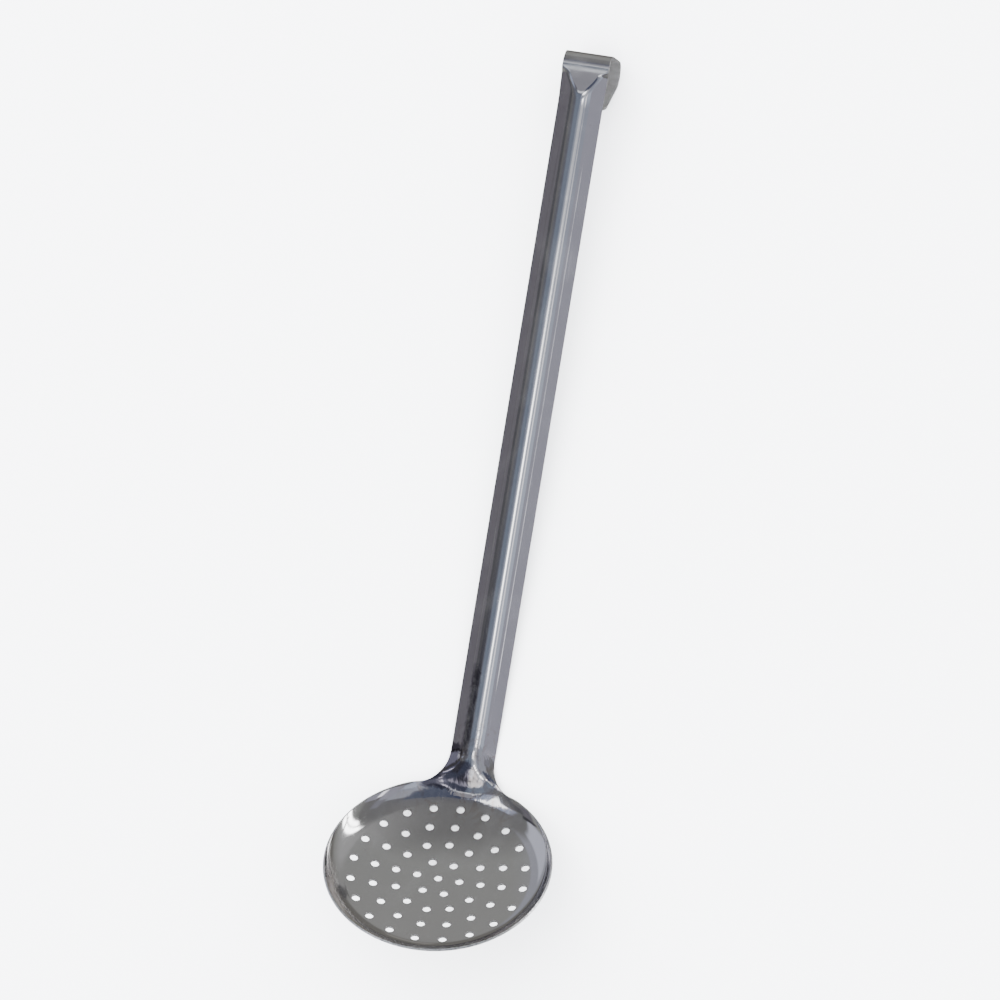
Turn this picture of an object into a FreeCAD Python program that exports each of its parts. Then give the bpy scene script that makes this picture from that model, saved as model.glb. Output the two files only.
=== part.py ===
import FreeCAD, Part
import math
import os

# Driving sizes in millimetres and degrees: the dish
dish_diameter = 120.0
wall_width = 12.0
floor_radius = 250.0
rim_slope = 59.0
handle_angle = 46.5
sheet = 1.1

# The round holes: one in the middle, then four rings, the last set in from the edge of the floor
hole_diameter = 4.2
hole_margin = 2.4
ring_counts = (6, 12, 16, 20)

# The handle, measured along its crest from the rim of the dish
handle_width = 24.6
ridge_height = 5.0
crest_radius = 8.5
rim_to_hip = 370.5

# The neck: where the ridge starts to rise out of the dish wall and where it has its full form
neck_inside = 9.0
neck_outside = 24.0
neck_fillet = 21.0

# The hip that ends the ridge, and the flare of the edges beside it
hip_length = 11.0
hip_drop = 2.4
hip_width = 20.6
edge_flare = 0.4
flare_length = 20.0
edge_softness = 0.5

# The hanging hook, bent from the flat end of the handle
strip_lead = 2.5
hook_depth = 35.0
hook_front_radius = 7.7
hook_back_radius = 7.8
hook_top_fall = 1.0
hook_leg_angle = 57.5
tip_gap = 4.0
tip_corner = 4.0

# Spacing of the points that the two pressed skins pass through, and how far past a cut they run
neck_grid = 2.0
hip_grid = 1.0
margin_steps = 3
weld = 0.02
mesh_fineness = 0.05

# The search for the tilt at rest: degrees each way from a level handle, and how often that is halved
tilt_search = 30.0
halvings = 40

Vector = FreeCAD.Vector
ORIGIN = Vector(0, 0, 0)
X_AXIS = Vector(1, 0, 0)
Y_AXIS = Vector(0, 1, 0)
Z_AXIS = Vector(0, 0, 1)

# Half the size of a block that holds the whole piece with room to spare
FAR = 4 * (dish_diameter + rim_to_hip)

half_width = handle_width / 2
flat_half_width = half_width + edge_flare
rise = math.radians(handle_angle)
rim_turn = math.radians(rim_slope)

# The upper face ends inside the full diameter, because the cut rim is square to the sheet
rim_radius = dish_diameter / 2 - sheet * math.sin(rim_turn)

# The meridian of the dish: a shallow spherical floor, then one arc up to the rim
wall_start = dish_diameter / 2 - wall_width
floor_turn = math.asin(wall_start / floor_radius)
wall_radius = (rim_radius - wall_start) / (math.sin(rim_turn) - math.sin(floor_turn))
floor_centre = Vector(0, 0, floor_radius)
ring_pitch = (wall_start - hole_margin) / len(ring_counts)
wall_centre_r = wall_start - wall_radius * math.sin(floor_turn)
wall_centre_z = floor_radius - (floor_radius - wall_radius) * math.cos(floor_turn)

# The ridge leaves the wall where the wall is as steep as the handle
leave_r = wall_centre_r + wall_radius * math.sin(rise)
leave_z = wall_centre_z - wall_radius * math.cos(rise)
rim_crest_z = leave_z + (rim_radius - leave_r) * math.tan(rise)

# Stations along the handle's crest, from above the rim
neck_start_y = rim_radius - neck_inside
neck_end_y = rim_radius + neck_outside * math.cos(rise)
crease = rim_to_hip + hip_length
flare_start = crease - flare_length
strip_end = crease + strip_lead

# The ridge's section: a crest arc, tangent to two flat flanks that run to the edges
edge_distance = math.hypot(half_width, crest_radius - ridge_height)
edge_bearing = math.atan2(half_width, crest_radius - ridge_height)
flank_turn = edge_bearing - math.acos(crest_radius / edge_distance)
flank_start = crest_radius * math.sin(flank_turn)


def smooth_step(t):
    t = min(max(t, 0.0), 1.0)
    return t * t * t * (10 - 15 * t + 6 * t * t)


def soft_min(a, b):
    overlap = max(edge_softness - abs(a - b), 0.0)
    return min(a, b) - overlap * overlap / (4 * edge_softness)


def soft_max(a, b):
    return -soft_min(-a, -b)


# Height of the upper face of the sheet over the plane that touches the bottom of the dish
def meridian(r):
    if r <= wall_start:
        return floor_radius - math.sqrt(floor_radius ** 2 - r * r)
    if r <= rim_radius:
        return wall_centre_z - math.sqrt(wall_radius ** 2 - (r - wall_centre_r) ** 2)
    rim_height = wall_centre_z - wall_radius * math.cos(rim_turn)
    return rim_height + (r - rim_radius) * math.tan(rim_turn)


# The ridge's crest in the middle plane
def crest(y):
    if y <= leave_r:
        return meridian(y)
    return leave_z + (y - leave_r) * math.tan(rise)


# How far the section lies below its crest
def ridge_fall(x):
    x = abs(x)
    if x <= flank_start:
        return crest_radius - math.sqrt(crest_radius ** 2 - x * x)
    return crest_radius * (1 - math.cos(flank_turn)) + (x - flank_start) * math.tan(flank_turn)


# The dish blended through the neck into the handle
def neck_height(x, y):
    blend = smooth_step((y - neck_start_y) / (neck_end_y - neck_start_y))
    bowl = meridian(math.hypot(x, y))
    if blend == 0.0:
        return bowl
    handle = crest(y) - ridge_fall(x) / math.cos(rise)
    return (1 - blend) * bowl + blend * handle


# The end of the ridge, over the crest: a hip slopes down to a crease while the edges lift to meet it
def hip_height(x, s):
    hip_lift = ridge_fall(hip_width / 2) - hip_drop
    flat_lift = ridge_fall(flat_half_width) - ridge_fall(hip_width / 2) + edge_softness
    lift = hip_lift * max((s - flare_start) / flare_length, 0.0) ** 2
    lift += flat_lift * smooth_step((s - crease + strip_lead) / (2 * strip_lead))
    slope = -(s - rim_to_hip) * hip_drop / hip_length
    return soft_min(lift - ridge_fall(x), soft_max(slope, -hip_drop))


# A smooth face through the heights that a formula gives over a square grid
def skin(height, x_reach, y_start, y_end, step):
    nx = int(math.ceil(x_reach / step)) + margin_steps
    y_first = y_start - margin_steps * step
    ny = int(math.ceil((y_end - y_first) / step)) + margin_steps
    rows = []
    for i in range(-nx, nx + 1):
        rows.append([height(i * step, y_first + j * step) for j in range(ny + 1)])
    surface = Part.BSplineSurface()
    surface.interpolate(rows, -nx * step, step, y_first, step)
    return surface.toShape()


def line(a, b):
    return Part.makeLine(Vector(a[0], a[1], 0), Vector(b[0], b[1], 0))


def arc(a, middle, b):
    points = [Vector(p[0], p[1], 0) for p in (a, middle, b)]
    return Part.Arc(*points).toShape()


# The cut edge of the dish and neck seen along the dish's axis
def bowl_outline(y_end):
    cx = half_width + neck_fillet
    reach = rim_radius + neck_fillet
    cy = math.sqrt(reach * reach - cx * cx)
    on_rim = (cx * rim_radius / reach, cy * rim_radius / reach)
    turn = math.pi + math.atan2(cy, cx) / 2
    middle = (cx + neck_fillet * math.cos(turn), cy + neck_fillet * math.sin(turn))
    on_side = (half_width, cy)
    end = (half_width, y_end)
    left = [(-p[0], p[1]) for p in (on_rim, middle, on_side, end)]
    edges = [arc(left[0], (0, -rim_radius), on_rim)]
    edges.append(arc(on_rim, middle, on_side))
    edges.append(line(on_side, end))
    edges.append(line(end, left[3]))
    edges.append(line(left[3], left[2]))
    edges.append(arc(left[2], left[1], left[0]))
    return Part.Wire(edges)


# The cut edge of the handle's end, seen square to the handle
def hip_outline():
    y_start = flare_start - margin_steps * hip_grid
    y_end = strip_end + margin_steps * hip_grid
    bend_a = flare_start + flare_length / 3
    bend_b = flare_start + 2 * flare_length / 3
    right = Part.BezierCurve()
    poles = [(half_width, flare_start), (half_width, bend_a)]
    poles += [(flat_half_width, bend_b), (flat_half_width, crease)]
    right.setPoles([Vector(p[0], p[1], 0) for p in poles])
    left = Part.BezierCurve()
    left.setPoles([Vector(-p[0], p[1], 0) for p in reversed(poles)])
    edges = [line((-half_width, y_start), (half_width, y_start))]
    edges.append(line((half_width, y_start), (half_width, flare_start)))
    edges.append(right.toShape())
    edges.append(line((flat_half_width, crease), (flat_half_width, y_end)))
    edges.append(line((flat_half_width, y_end), (-flat_half_width, y_end)))
    edges.append(line((-flat_half_width, y_end), (-flat_half_width, crease)))
    edges.append(left.toShape())
    edges.append(line((-half_width, flare_start), (-half_width, y_start)))
    return Part.Wire(edges)


# Trim a skin to its outline and give it the thickness of the sheet, on the lower side
def pressed_sheet(face, outline):
    column = Part.Face(outline.translated(Vector(0, 0, -FAR))).extrude(Vector(0, 0, 2 * FAR))
    trimmed = face.common(column).Faces[0]
    solid = trimmed.makeOffsetShape(-sheet, weld / 10, fill=True)
    if solid.CenterOfMass.z > trimmed.CenterOfMass.z:
        solid = trimmed.makeOffsetShape(sheet, weld / 10, fill=True)
    return solid


# A block that holds everything on the far side of a plane square to the Y axis
def beyond(y):
    return Part.makeBox(2 * FAR, 2 * FAR, 2 * FAR, Vector(-FAR, y, -FAR))


# Put a shape drawn along the handle's crest into its place on the dish
def on_handle(shape):
    placed = shape.copy()
    placed.rotate(ORIGIN, X_AXIS, handle_angle)
    placed.translate(Vector(0, rim_radius, rim_crest_z))
    return placed


# The floor is a round cut from two concentric spheres, its edge square to them
def floor_disc():
    outer = Part.makeSphere(floor_radius + sheet, floor_centre, X_AXIS)
    inner = Part.makeSphere(floor_radius, floor_centre, X_AXIS)
    depth = 2 * floor_radius
    cone = Part.makeCone(0, depth * math.tan(floor_turn), depth, floor_centre, -Z_AXIS)
    return outer.cut(inner).common(cone)


def wall_point(radius, turn):
    return Vector(wall_centre_r + radius * math.sin(turn), 0, wall_centre_z - radius * math.cos(turn))


# The wall's section turned round the dish's axis
def wall_ring():
    outer = wall_radius + sheet
    middle = (floor_turn + rim_turn) / 2
    foot = [wall_point(r, floor_turn) for r in (wall_radius, outer)]
    half = [wall_point(r, middle) for r in (wall_radius, outer)]
    lip = [wall_point(r, rim_turn) for r in (wall_radius, outer)]
    edges = [Part.Arc(foot[0], half[0], lip[0]).toShape()]
    edges.append(Part.makeLine(lip[0], lip[1]))
    edges.append(Part.Arc(lip[1], half[1], foot[1]).toShape())
    edges.append(Part.makeLine(foot[1], foot[0]))
    return Part.Face(Part.Wire(edges)).revolve(ORIGIN, Z_AXIS, 360)


# The neck's skin runs on past the slanted cut that ends it
def neck():
    y_end = neck_end_y + 2 * ridge_height
    face = skin(neck_height, rim_radius, neck_start_y, y_end, neck_grid)
    solid = pressed_sheet(face, bowl_outline(y_end))
    return solid.common(beyond(neck_start_y)).cut(on_handle(beyond(neck_outside)))


# The punches for the holes, evenly spaced round each ring, with the rings set to mirror about the handle
def hole_punches():
    punches = [punch(0.0, 0.0)]
    for number, count in enumerate(ring_counts, start=1):
        first = math.pi / count if number == 1 else 0.0
        for k in range(count):
            punches.append(punch(number * ring_pitch, first + 2 * math.pi * k / count))
    return punches


# Each punch points away from the centre of the floor's sphere, so it goes through square to the sheet
def punch(radius, bearing):
    foot = Vector(0, 0, -floor_radius - 2 * sheet)
    tool = Part.makeCylinder(hole_diameter / 2, 3 * sheet, foot, Z_AXIS)
    tool.rotate(ORIGIN, X_AXIS, math.degrees(math.asin(radius / floor_radius)))
    tool.rotate(ORIGIN, Z_AXIS, -math.degrees(bearing))
    tool.translate(floor_centre)
    return tool


def ridge_end():
    face = skin(hip_height, flat_half_width, flare_start, strip_end, hip_grid)
    solid = pressed_sheet(face, hip_outline())
    return solid.common(beyond(flare_start)).cut(beyond(strip_end))


# One face of the ridged sheet across the handle, as its two flanks and the crest arc between them
def section_side(offset):
    radius = crest_radius - offset
    top = Vector(0, 0, -offset)
    tangent = Vector(radius * math.sin(flank_turn), 0, radius * math.cos(flank_turn) - crest_radius)
    edge_x = half_width - offset * math.sin(flank_turn)
    edge_z = -ridge_height - offset * math.cos(flank_turn)
    edge = Vector(edge_x, 0, edge_z)
    left = [Vector(-p.x, 0, p.z) for p in (edge, tangent)]
    flank_a = Part.makeLine(left[0], left[1])
    flank_b = Part.makeLine(tangent, edge)
    return [flank_a, Part.Arc(left[1], top, tangent).toShape(), flank_b], left[0], edge


def handle_straight():
    upper, upper_left, upper_right = section_side(0.0)
    lower, lower_left, lower_right = section_side(sheet)
    sides = [Part.makeLine(upper_left, lower_left), Part.makeLine(upper_right, lower_right)]
    section = Part.Face(Part.Wire(Part.sortEdges(upper + lower + sides)[0]))
    section.translate(Vector(0, neck_outside, 0))
    return section.extrude(Vector(0, flare_start - neck_outside, 0))


# One side of the hook's two bends, drawn in a plane as (along the handle, behind the crest)
def hook_bends(offset):
    front = hook_front_radius - offset
    back = hook_back_radius - offset
    front_centre = (strip_end, hip_drop + hook_front_radius)
    top_turn = math.radians(90 + hook_top_fall)
    leg_turn = math.radians(180 + hook_leg_angle)
    a = (front_centre[0], front_centre[1] - front)
    b = on_circle(front_centre, front, top_turn)
    edge = on_circle(front_centre, hook_front_radius, top_turn)
    back_depth = hip_drop + hook_depth - hook_back_radius
    run = (back_depth - edge[1] + hook_back_radius * -math.cos(top_turn)) / math.sin(top_turn)
    back_centre = (edge[0] + run * math.cos(top_turn) - hook_back_radius * math.sin(top_turn), back_depth)
    c = on_circle(back_centre, back, top_turn)
    d = on_circle(back_centre, back, leg_turn)
    front_mid = on_circle(front_centre, front, top_turn / 2)
    back_mid = on_circle(back_centre, back, (top_turn + leg_turn) / 2)
    return [arc(a, front_mid, b), line(b, c), arc(c, back_mid, d)], a, d


# A point of a bend, by its centre, its radius and the heading of the strip there
def on_circle(centre, radius, heading):
    return (centre[0] + radius * math.sin(heading), centre[1] - radius * math.cos(heading))


# The hook's return leg stops short of the back of the handle's edges
def hook():
    outer, start_out, leg_out = hook_bends(0.0)
    inner, start_in, leg_in = hook_bends(sheet)
    leg_turn = math.radians(180 + hook_leg_angle)
    leg_length = (leg_in[1] - ridge_height - sheet - tip_gap) / -math.sin(leg_turn)
    leg = (leg_length * math.cos(leg_turn), leg_length * math.sin(leg_turn))
    tip_out = (leg_out[0] + leg[0], leg_out[1] + leg[1])
    tip_in = (leg_in[0] + leg[0], leg_in[1] + leg[1])
    edges = outer + [line(leg_out, tip_out), line(tip_out, tip_in), line(tip_in, leg_in)]
    edges += inner + [line(start_in, start_out)]
    profile = Part.Face(Part.Wire(Part.sortEdges(edges)[0]))
    solid = profile.extrude(Vector(0, 0, 2 * flat_half_width))
    solid.translate(Vector(0, 0, -flat_half_width))
    solid = round_tip(solid, tip_out, tip_in)
    # Drawn as (along, behind, across); turned to (across, along, above)
    solid.rotate(ORIGIN, Z_AXIS, 90)
    solid.rotate(ORIGIN, Y_AXIS, -90)
    return solid


# The two corners of the tip are the short edges through the sheet at the end of the leg
def round_tip(solid, tip_out, tip_in):
    middle = Vector((tip_out[0] + tip_in[0]) / 2, (tip_out[1] + tip_in[1]) / 2, 0)
    corners = []
    for edge in solid.Edges:
        centre = edge.CenterOfMass
        if Vector(centre.x, centre.y, 0).distanceToPoint(middle) < weld:
            corners.append(edge)
    corners = [edge for edge in corners if edge.Length < 2 * sheet]
    return solid.makeFillet(tip_corner, corners)


# The one piece of sheet, standing on the bottom of its dish
def skimmer():
    floor = floor_disc().cut(Part.makeCompound(hole_punches()))
    dish = floor.fuse(wall_ring()).cut(beyond(neck_start_y))
    joined = dish.Solids[0]
    for piece in (neck(), on_handle(handle_straight()), on_handle(ridge_end()), on_handle(hook())):
        joined = joined.fuse([piece.Solids[0]], weld).Solids[0]
    return joined


# The lowest of some points once they are turned about the X axis
def lowest(points, turn):
    return min(p.y * math.sin(turn) + p.z * math.cos(turn) for p in points)


# The turn about the X axis that sets the dish end and the hook end on the floor together
def resting_turn(points):
    middle = rim_radius + rim_to_hip * math.cos(rise) / 2
    dish_end = [p for p in points if p.y < middle]
    hook_end = [p for p in points if p.y >= middle]
    low = -rise - math.radians(tilt_search)
    high = -rise + math.radians(tilt_search)
    for step in range(halvings):
        turn = (low + high) / 2
        if lowest(hook_end, turn) < lowest(dish_end, turn):
            low = turn
        else:
            high = turn
    return (low + high) / 2


# Lay the piece down as it would come to rest, its base centred on the origin
def laid_down(shape):
    turn = resting_turn(shape.tessellate(mesh_fineness)[0])
    laid = shape.copy()
    laid.rotate(ORIGIN, X_AXIS, math.degrees(turn))
    points = laid.tessellate(mesh_fineness)[0]
    ends = [(min(values), max(values)) for values in zip(*[(p.x, p.y, p.z) for p in points])]
    laid.translate(Vector(-sum(ends[0]) / 2, -sum(ends[1]) / 2, -ends[2][0]))
    return laid


os.makedirs("parts", exist_ok=True)
laid_down(skimmer()).exportStep("parts/skimmer.step")
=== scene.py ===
import math

import bpy
import numpy as np
from bpy.props import FloatProperty, FloatVectorProperty, IntVectorProperty, PointerProperty
from mathutils import Matrix, Quaternion, Vector
from mathutils.geometry import delaunay_2d_cdt


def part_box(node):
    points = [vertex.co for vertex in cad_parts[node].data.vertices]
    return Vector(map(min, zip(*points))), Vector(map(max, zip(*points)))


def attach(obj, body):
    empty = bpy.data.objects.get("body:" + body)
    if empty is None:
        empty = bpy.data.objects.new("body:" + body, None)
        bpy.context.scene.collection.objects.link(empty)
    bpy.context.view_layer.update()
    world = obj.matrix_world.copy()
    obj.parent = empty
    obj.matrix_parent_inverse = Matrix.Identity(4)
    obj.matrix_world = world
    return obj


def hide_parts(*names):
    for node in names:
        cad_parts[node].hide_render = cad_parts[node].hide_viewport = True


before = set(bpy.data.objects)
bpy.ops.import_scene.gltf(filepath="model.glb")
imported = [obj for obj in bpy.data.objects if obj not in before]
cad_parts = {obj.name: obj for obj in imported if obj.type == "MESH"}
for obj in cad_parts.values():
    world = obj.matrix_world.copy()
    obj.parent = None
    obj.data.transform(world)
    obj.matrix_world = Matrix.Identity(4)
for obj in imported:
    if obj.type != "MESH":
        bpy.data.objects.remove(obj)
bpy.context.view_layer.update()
CAD_LOW, CAD_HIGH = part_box("skimmer")

bl_info = {
    "name": "Pressed Steel Skimmer",
    "version": (1, 0, 0),
    "blender": (4, 5, 0),
    "location": "3D View > Sidebar > Skimmer",
    "description": "Makes a skimmer pressed from one sheet of steel, its polished finish and a studio stage",
    "category": "Add Mesh",
}


# Small helpers for properties

def number(name, text, default, **more):
    return FloatProperty(name=name, description=text, default=default, min=0.0, **more)


def length(name, text, default):
    return number(name, text, default, unit="LENGTH", subtype="DISTANCE")


def depth(name, text, default):
    return number(name, text, default, unit="LENGTH", precision=6)


def share(name, text, default):
    return number(name, text, default, max=1.0, subtype="FACTOR")


def angle(name, text, degrees):
    return FloatProperty(name=name, description=text, default=math.radians(degrees), unit="ROTATION",
                         subtype="ANGLE")


def colour(name, text, default):
    return FloatVectorProperty(name=name, description=text, default=default, size=3, min=0.0, max=1.0,
                               subtype="COLOR")


class SkimmerDish(bpy.types.PropertyGroup):
    """Sizes of the perforated dish"""

    diameter: length("Diameter", "Over the cut rim of the dish", CAD_HIGH.x - CAD_LOW.x)
    wall_width: length("Wall Width", "From the rim to the shallow spherical floor, seen from above", 0.012)
    floor_radius: length("Floor Radius", "Of the sphere that the floor is part of", 0.250)
    rim_slope: angle("Rim Slope", "Steepness of the wall at the rim", 59.0)
    sheet: length("Sheet", "Thickness of the steel", 0.0011)
    edge_round: length("Edge Rounding", "Radius left on each cut edge by tumbling", 0.00015)
    hole_diameter: length("Hole Diameter", "Of each punched hole", 0.0042)
    hole_margin: length("Hole Margin", "From the last ring of holes to the edge of the floor", 0.0024)
    ring_counts: IntVectorProperty(name="Ring Counts", description="Holes in each ring, from the middle out",
                                   default=(6, 12, 16, 20), size=4, min=0)


class SkimmerHandle(bpy.types.PropertyGroup):
    """Sizes of the ridged handle, its neck and the hip that ends the ridge"""

    angle: angle("Handle Angle", "Rise of the handle over the plane of the rim", 46.5)
    width: length("Width", "Over the two edges", 0.0246)
    ridge_height: length("Ridge Height", "Of the crest over the edges", 0.005)
    crest_radius: length("Crest Radius", "Of the arc along the top of the ridge", 0.0130)
    rim_to_hip: length("Rim to Hip", "Along the crest, from above the rim to the hip", 0.3705)
    neck_inside: length("Neck Inside", "How far inside the rim the ridge starts", 0.009)
    neck_outside: length("Neck Outside", "How far past the rim the ridge has its full form", 0.024)
    neck_fillet: length("Neck Fillet", "Of the outline between the rim and the handle", 0.021)
    hip_length: length("Hip Length", "Of the slope that ends the ridge", 0.011)
    hip_drop: length("Hip Drop", "From the crest to the flat end", 0.0024)
    hip_width: length("Hip Width", "Of the slope at its foot", 0.0206)
    edge_flare: length("Edge Flare", "That the flat end is wider by, on each side", 0.0004)
    flare_length: length("Flare Length", "Of the stretch where the edges lift and flare", 0.020)
    edge_softness: length("Edge Softness", "Of the pressed edges round the hip", 0.0010)


class SkimmerHook(bpy.types.PropertyGroup):
    """Sizes of the hanging hook"""

    lead: length("Lead", "Of the flat between the crease and the first bend", 0.0025)
    depth: length("Depth", "From the flat end to the back of the hook", 0.035)
    front_radius: length("Front Radius", "Of the first bend", 0.0077)
    back_radius: length("Back Radius", "Of the second bend", 0.0078)
    top_fall: angle("Top Fall", "By which the first bend passes a right angle", 1.0)
    leg_angle: angle("Leg Angle", "Between the return leg and the handle", 57.5)
    tip_gap: length("Tip Gap", "From the tip to the back of the handle", 0.004)
    tip_corner: length("Tip Corner", "Radius of the two corners of the tip", 0.004)


class SkimmerFinish(bpy.types.PropertyGroup):
    """Colours and wear of the polished steel, with a painted dark reflection and painted shade"""

    steel: colour("Steel", "Colour of the clean polished face", (0.60, 0.595, 0.60))
    tint: colour("Heat Tint", "Faint warm film in patches on the neck", (0.50, 0.43, 0.38))
    tint_share: share("Heat Tint Share", "Strength of the warm film", 0.5)
    # The Dark Film colour is a painted dark reflection: a dark blue patch painted into the colour of one side
    # of the neck and the ridge's foot
    film: colour("Dark Film", "Colour of the dark blue film on one side of the neck", (0.175, 0.165, 0.195))
    speck: colour("Speck", "Colour of the tiny pits", (0.20, 0.19, 0.18))
    # The Rim Tone colour is painted shade: it darkens the far wall near the rim to a dark brown band
    painted_rim_shade: colour("Rim Tone", "Colour of the drawn wall near the far rim", (0.37, 0.35, 0.325))
    edge: colour("Cut Edge", "Colour of the sheared edges", (0.62, 0.62, 0.63))
    torn: colour("Torn Edge", "Colour of the dull parts of the sheared edges", (0.36, 0.36, 0.37))
    roughness: share("Roughness", "Of the polished face", 0.055)
    smears: share("Smears", "How much wiping marks add to the roughness", 0.06)
    rim_satin: share("Rim Satin", "How much duller the drawn wall gets toward the rim", 0.24)
    bend_satin: share("Bend Satin", "How much duller the steel is where the hook was bent", 0.05)
    scratched: share("Scratched", "How much scratches add to the roughness", 0.10)
    back: colour("Back", "Colour of the duller parts of the underside", (0.52, 0.515, 0.51))
    back_roughness: share("Back Roughness", "Of the underside", 0.34)
    back_metal: share("Back Metal", "How bare the underside is under its dull rolled skin", 0.96)
    edge_roughness: share("Edge Roughness", "Of the sheared edges", 0.30)
    fine_lines: depth("Fine Lines", "Depth of the finest polishing lines", 0.0000012)
    broad_lines: depth("Broad Lines", "Depth of the broader polishing lines", 0.0000045)
    scratch: depth("Scratch", "Depth of the stray scratches", 0.000001)
    wave: depth("Wave", "Height of the slow unevenness of the pressed sheet", 0.00005)
    neck_wave: depth("Neck Wave", "Height of the unevenness where the neck is drawn", 0.00019)
    grain: depth("Grain", "Height of the puckered grain on the drawn neck", 0.000012)
    crease: depth("Crease", "Depth of the faint line that the press leaves along each flank", 0.00005)
    shear: depth("Shear Marks", "Depth of the marks that the shears leave", 0.00002)


class SkimmerStage(bpy.types.PropertyGroup):
    """The floor, the lights and the camera"""

    floor: colour("Floor", "Colour of the pale floor", (0.86, 0.86, 0.87))
    floor_size: length("Floor Size", "Of the square floor", 8.0)
    sky: colour("Sky", "Colour of the light from all round", (0.95, 0.97, 1.0))
    sky_strength: number("Sky Strength", "Of the light from all round", 8.0)
    soft_light: number("Soft Light", "Watts of the soft light overhead", 60.0)
    aim: FloatVectorProperty(name="Aim", description="Point in the middle of the picture", size=3,
                             default=(-0.00459, -0.00269, 0.03), unit="LENGTH", subtype="TRANSLATION")
    distance: length("Distance", "From the camera to the point it aims at", 2.35355)
    azimuth: angle("Azimuth", "Of the camera round the vertical, from the dish end", 71.8)
    elevation: angle("Elevation", "Of the camera over the floor", 78.32)
    roll: angle("Roll", "Of the camera about its own line of sight", 10.31)
    lens: number("Lens", "Focal length in millimetres on a 36 mm sensor", 160.86)


# The form of the pressed sheet

def smooth_step(t):
    """From 0 to 1 with no slope or bend at either end"""
    t = np.clip(t, 0.0, 1.0)
    return t * t * t * (10 - 15 * t + 6 * t * t)


class SheetForm:
    """Heights, outlines and path of the upper face, worked out from the driving sizes"""

    def __init__(self, dish, handle, hook):
        self.dish = dish
        self.handle = handle
        self.hook = hook
        self.edge = dish.edge_round
        self.rise = handle.angle
        self.rim_radius = dish.diameter / 2 - dish.sheet * math.sin(dish.rim_slope)
        self.wall_start = dish.diameter / 2 - dish.wall_width
        self.ring_pitch = (self.wall_start - dish.hole_margin) / len(dish.ring_counts)
        floor_turn = math.asin(self.wall_start / dish.floor_radius)
        spread = math.sin(dish.rim_slope) - math.sin(floor_turn)
        self.wall_radius = (self.rim_radius - self.wall_start) / spread
        self.wall_centre_r = self.wall_start - self.wall_radius * math.sin(floor_turn)
        drop = (dish.floor_radius - self.wall_radius) * math.cos(floor_turn)
        self.wall_centre_z = dish.floor_radius - drop
        self.leave_r = self.wall_centre_r + self.wall_radius * math.sin(self.rise)
        self.leave_z = self.wall_centre_z - self.wall_radius * math.cos(self.rise)
        self.rim_crest_z = self.leave_z + (self.rim_radius - self.leave_r) * math.tan(self.rise)
        self.neck_start_y = self.rim_radius - handle.neck_inside
        self.neck_end_y = self.rim_radius + handle.neck_outside * math.cos(self.rise)
        self.half_width = handle.width / 2
        self.flat_half_width = self.half_width + handle.edge_flare
        self.crease = handle.rim_to_hip + handle.hip_length
        self.flare_start = self.crease - handle.flare_length
        self.strip_end = self.crease + hook.lead
        below = handle.crest_radius - handle.ridge_height
        bearing = math.atan2(self.half_width, below)
        self.flank_turn = bearing - math.acos(handle.crest_radius / math.hypot(self.half_width, below))
        self.flank_start = handle.crest_radius * math.sin(self.flank_turn)
        self.fillet_x = self.half_width + handle.neck_fillet
        self.fillet_reach = self.rim_radius + handle.neck_fillet
        self.fillet_y = math.sqrt(self.fillet_reach ** 2 - self.fillet_x ** 2)
        self.set_hook()

    def set_hook(self):
        """The two bends of the hook, each with the straight after it, from their depths behind the crest"""
        hook = self.hook
        top_turn = math.radians(90) + hook.top_fall
        leg_turn = math.radians(180) + hook.leg_angle
        level = self.handle.hip_drop
        front_end = level + hook.front_radius * (1 - math.cos(top_turn))
        back_centre = level + hook.depth - hook.back_radius
        back_start = back_centre - hook.back_radius * math.cos(top_turn)
        top_run = (back_start - front_end) / math.sin(top_turn)
        leg_start = back_centre - (hook.back_radius - self.dish.sheet) * math.cos(leg_turn)
        leg_end = self.handle.ridge_height + self.dish.sheet + hook.tip_gap
        leg_run = (leg_start - leg_end) / -math.sin(leg_turn)
        # Radius, heading before and after the bend, length of the straight
        self.bends = (
            (hook.front_radius, 0.0, top_turn, top_run),
            (hook.back_radius, top_turn, leg_turn, leg_run),
        )
        self.hook_length = sum(radius * (after - before) + run for radius, before, after, run in self.bends)

    def meridian(self, r):
        """Height of the dish at a distance from its middle"""
        floor_radius = self.dish.floor_radius
        floor = floor_radius - np.sqrt(floor_radius ** 2 - np.minimum(r, self.wall_start) ** 2)
        on_wall = np.clip(r, self.wall_start, self.rim_radius) - self.wall_centre_r
        wall = self.wall_centre_z - np.sqrt(self.wall_radius ** 2 - on_wall ** 2)
        beyond = np.maximum(r - self.rim_radius, 0.0) * math.tan(self.dish.rim_slope)
        return np.where(r <= self.wall_start, floor, wall + beyond)

    def crest(self, y):
        """Height of the crest line, which leaves the dish's wall where the two slope alike"""
        straight = self.leave_z + (y - self.leave_r) * math.tan(self.rise)
        return np.where(y <= self.leave_r, self.meridian(np.abs(y)), straight)

    def ridge_fall(self, x):
        """How far the handle lies under its crest"""
        x = np.abs(x)
        radius = self.handle.crest_radius
        arc = radius - np.sqrt(radius ** 2 - np.minimum(x, self.flank_start) ** 2)
        return arc + np.maximum(x - self.flank_start, 0.0) * math.tan(self.flank_turn)

    def neck_height(self, x, y):
        blend = smooth_step((y - self.neck_start_y) / (self.neck_end_y - self.neck_start_y))
        bowl = self.meridian(np.hypot(x, y))
        handle = self.crest(y) - self.ridge_fall(x) / math.cos(self.rise)
        return (1 - blend) * bowl + blend * handle

    def soft_min(self, a, b):
        """The lower of two heights, rounded where they cross"""
        softness = self.handle.edge_softness
        overlap = np.maximum(softness - np.abs(a - b), 0.0)
        return np.minimum(a, b) - overlap * overlap / (4 * softness)

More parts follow.
